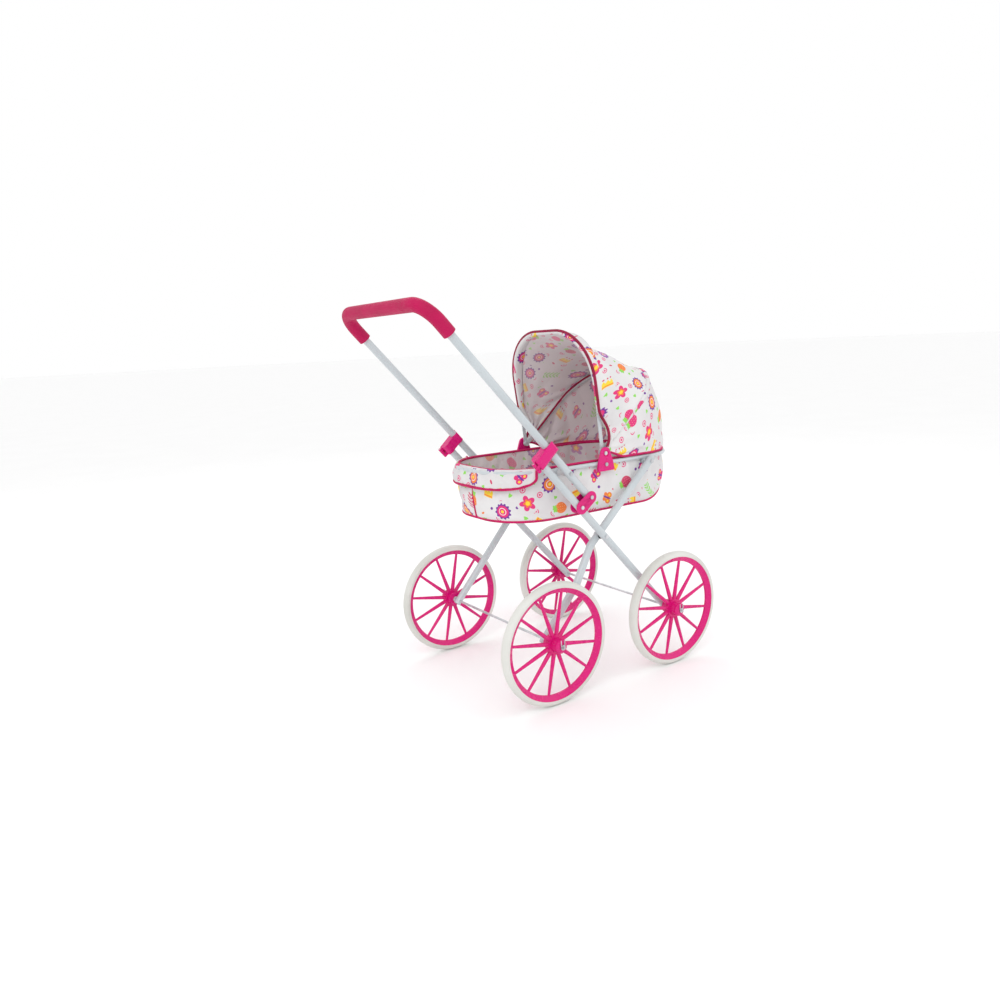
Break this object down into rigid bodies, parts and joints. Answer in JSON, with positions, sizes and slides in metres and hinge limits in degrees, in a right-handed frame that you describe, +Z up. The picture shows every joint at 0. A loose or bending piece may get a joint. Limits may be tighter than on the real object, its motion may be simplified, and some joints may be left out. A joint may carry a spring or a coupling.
{
  "type": "doll stroller",
  "caption": "Folding doll's pram with tall spoked wheels, a push handle with foam grip, a fabric carrycot on a crossed tube frame and a folding hood.",
  "frame": {"origin": "on the ground under the centre of the pram's bounding box", "axes": "+X towards the hood end, the handle at -X; +Y to the left of someone pushing; +Z up"},
  "size_m": [0.6644, 0.434, 0.7565],
  "materials": {
    "pink_plastic": "smooth moulded",
    "pink_foam": "matte foam",
    "white_paint": "gloss powder coat",
    "ivory_tyre": "satin",
    "bright_steel": "zinc plated",
    "print_fabric": "printed polyester",
    "stiffener_board": "matt",
    "dark_plastic": "matt",
    "white_plastic": "satin"
  },
  "bodies": {
    "carriage": {"basket_rim": "white_paint", "carrycot": "print_fabric", "base_board": "stiffener_board", "foot_flap": "print_fabric", "handle_rivets": "bright_steel", "handle_spacers": "white_plastic", "rear_leg_rivets": "bright_steel", "rear_leg_spacers": "white_plastic", "hood_bracket_left": "pink_plastic", "hood_bracket_right": "pink_plastic", "hood_rivets": "bright_steel", "bracket_rivets": "bright_steel", "hood_rear_panel": "print_fabric"},
    "handle": {"handle_bar": "white_paint", "handle_grip": "pink_foam", "handle_end_plugs": "white_plastic"},
    "rear_legs": {"rear_leg_left": "white_paint", "rear_leg_right": "white_paint", "rear_leg_caps": "white_plastic", "rear_axle": "bright_steel", "rear_axle_clips": "bright_steel", "rear_axle_spacers": "white_plastic", "cross_rivets": "bright_steel"},
    "front_legs": {"front_leg_left": "white_paint", "front_leg_right": "white_paint", "front_axle": "bright_steel", "front_axle_clips": "bright_steel", "cross_spacers": "dark_plastic", "latch_base_left": "pink_plastic", "latch_base_right": "pink_plastic", "latch_pins": "bright_steel"},
    "links": {"link_plate_outer_left": "pink_plastic", "link_plate_inner_left": "pink_plastic", "link_plate_outer_right": "pink_plastic", "link_plate_inner_right": "pink_plastic", "link_rivets": "bright_steel", "link_end_studs": "bright_steel"},
    "latch_left": {"latch_lever_left": "pink_plastic"},
    "latch_right": {"latch_lever_right": "pink_plastic"},
    "hood_rib": {"hood_rib_hoop": "white_paint", "hood_middle_panel": "print_fabric"},
    "hood_front": {"hood_front_hoop": "white_paint", "hood_front_panel": "print_fabric"},
    "wheel_front_left_body": {"wheel_front_left": "pink_plastic", "tyre_front_left": "ivory_tyre", "hub_cap_front_left": "pink_plastic"},
    "wheel_front_right_body": {"wheel_front_right": "pink_plastic", "tyre_front_right": "ivory_tyre", "hub_cap_front_right": "pink_plastic"},
    "wheel_rear_left_body": {"wheel_rear_left": "pink_plastic", "tyre_rear_left": "ivory_tyre", "hub_cap_rear_left": "pink_plastic"},
    "wheel_rear_right_body": {"wheel_rear_right": "pink_plastic", "tyre_rear_right": "ivory_tyre", "hub_cap_rear_right": "pink_plastic"}
  },
  "joints": [
    {"name": "leg_fold", "type": "hinge", "parent": "carriage", "child": "rear_legs", "pos_m": [0.19225, 0, 0.427], "axis": [0, 1, 0], "range_deg": [0, 6.1]},
    {"name": "front_leg_fold", "type": "hinge", "parent": "rear_legs", "child": "front_legs", "pos_m": [0.0503, 0, 0.29696], "axis": [0, 1, 0], "range_deg": [-31.6, 0]},
    {"name": "handle_fold", "type": "hinge", "parent": "carriage", "child": "handle", "pos_m": [-0.0341, 0, 0.43168], "axis": [0, 1, 0], "range_deg": [0, 33]},
    {"name": "link_fold", "type": "hinge", "parent": "front_legs", "child": "links", "pos_m": [-0.01137, 0, 0.36434], "axis": [0, 1, 0], "range_deg": [0, 34]},
    {"name": "latch_left_open", "type": "hinge", "parent": "front_legs", "child": "latch_left", "pos_m": [-0.11182, 0.1675, 0.45188], "axis": [-0.6751, 0, 0.7377], "range_deg": [0, 40]},
    {"name": "latch_right_open", "type": "hinge", "parent": "front_legs", "child": "latch_right", "pos_m": [-0.11182, -0.1675, 0.45188], "axis": [0.6751, 0, -0.7377], "range_deg": [0, 40]},
    {"name": "hood_fold", "type": "hinge", "parent": "carriage", "child": "hood_rib", "pos_m": [0.08025, 0, 0.455], "axis": [0, 1, 0], "range_deg": [0, 33]},
    {"name": "hood_front_fold", "type": "hinge", "parent": "hood_rib", "child": "hood_front", "pos_m": [0.08025, 0, 0.455], "axis": [0, 1, 0], "range_deg": [0, 33.1]},
    {"name": "wheel_front_left_spin", "type": "hinge", "parent": "front_legs", "child": "wheel_front_left_body", "pos_m": [0.21225, 0.188, 0.12], "axis": [0, 1, 0], "continuous": true},
    {"name": "wheel_front_right_spin", "type": "hinge", "parent": "front_legs", "child": "wheel_front_right_body", "pos_m": [0.21225, -0.188, 0.12], "axis": [0, 1, 0], "continuous": true},
    {"name": "wheel_rear_left_spin", "type": "hinge", "parent": "rear_legs", "child": "wheel_rear_left_body", "pos_m": [-0.09975, 0.188, 0.12], "axis": [0, 1, 0], "continuous": true},
    {"name": "wheel_rear_right_spin", "type": "hinge", "parent": "rear_legs", "child": "wheel_rear_right_body", "pos_m": [-0.09975, -0.188, 0.12], "axis": [0, 1, 0], "continuous": true}
  ],
  "couplings": [
    {"joint": "leg_fold", "follows": "handle_fold", "ratio": 0.18182},
    {"joint": "front_leg_fold", "follows": "handle_fold", "ratio": -0.95454},
    {"joint": "link_fold", "follows": "handle_fold", "ratio": 1.0275},
    {"joint": "hood_front_fold", "follows": "hood_fold", "ratio": 1}
  ]
}
